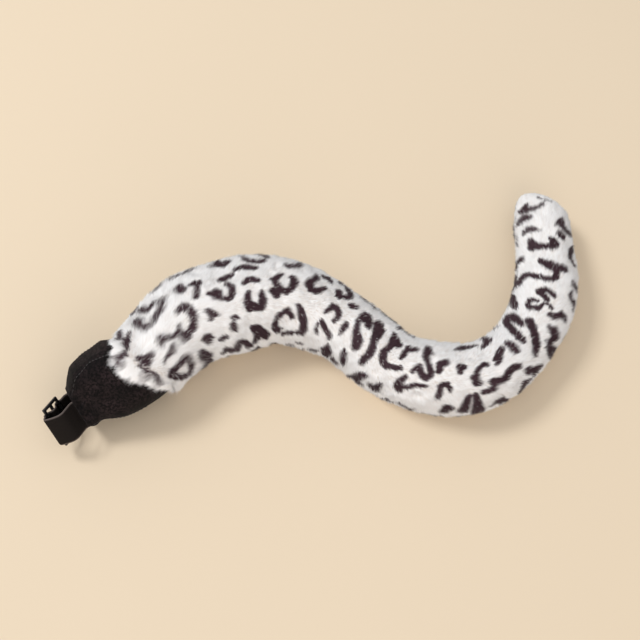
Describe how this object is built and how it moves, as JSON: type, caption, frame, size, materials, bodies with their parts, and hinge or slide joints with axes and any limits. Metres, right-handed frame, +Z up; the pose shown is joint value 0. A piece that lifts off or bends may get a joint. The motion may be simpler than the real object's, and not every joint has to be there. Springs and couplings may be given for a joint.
{
  "type": "plush animal tail",
  "caption": "Stuffed plush tail with leopard spots, curved in an S, on a padded black end with a webbing belt loop and slider; it lies on its side.",
  "frame": {"origin": "on the floor that the tail lies on, under the middle of its box", "axes": "+Z up from the floor; the S lies level, with its root and belt loop towards -X and -Y and its tip towards +X and +Y"},
  "size_m": [0.5016, 0.265, 0.0863],
  "materials": {
    "white_plush": "short-haired white plush with near-black leopard spots",
    "black_cloth": "matt black brushed polyester cloth over padding",
    "black_webbing": "ribbed black webbing",
    "black_acetal": "moulded, smooth, half gloss"
  },
  "bodies": {
    "root": {"tail_body": "white_plush", "root_cap": "black_cloth", "belt_loop": "black_webbing", "tri_glide": "black_acetal"}
  },
  "joints": []
}
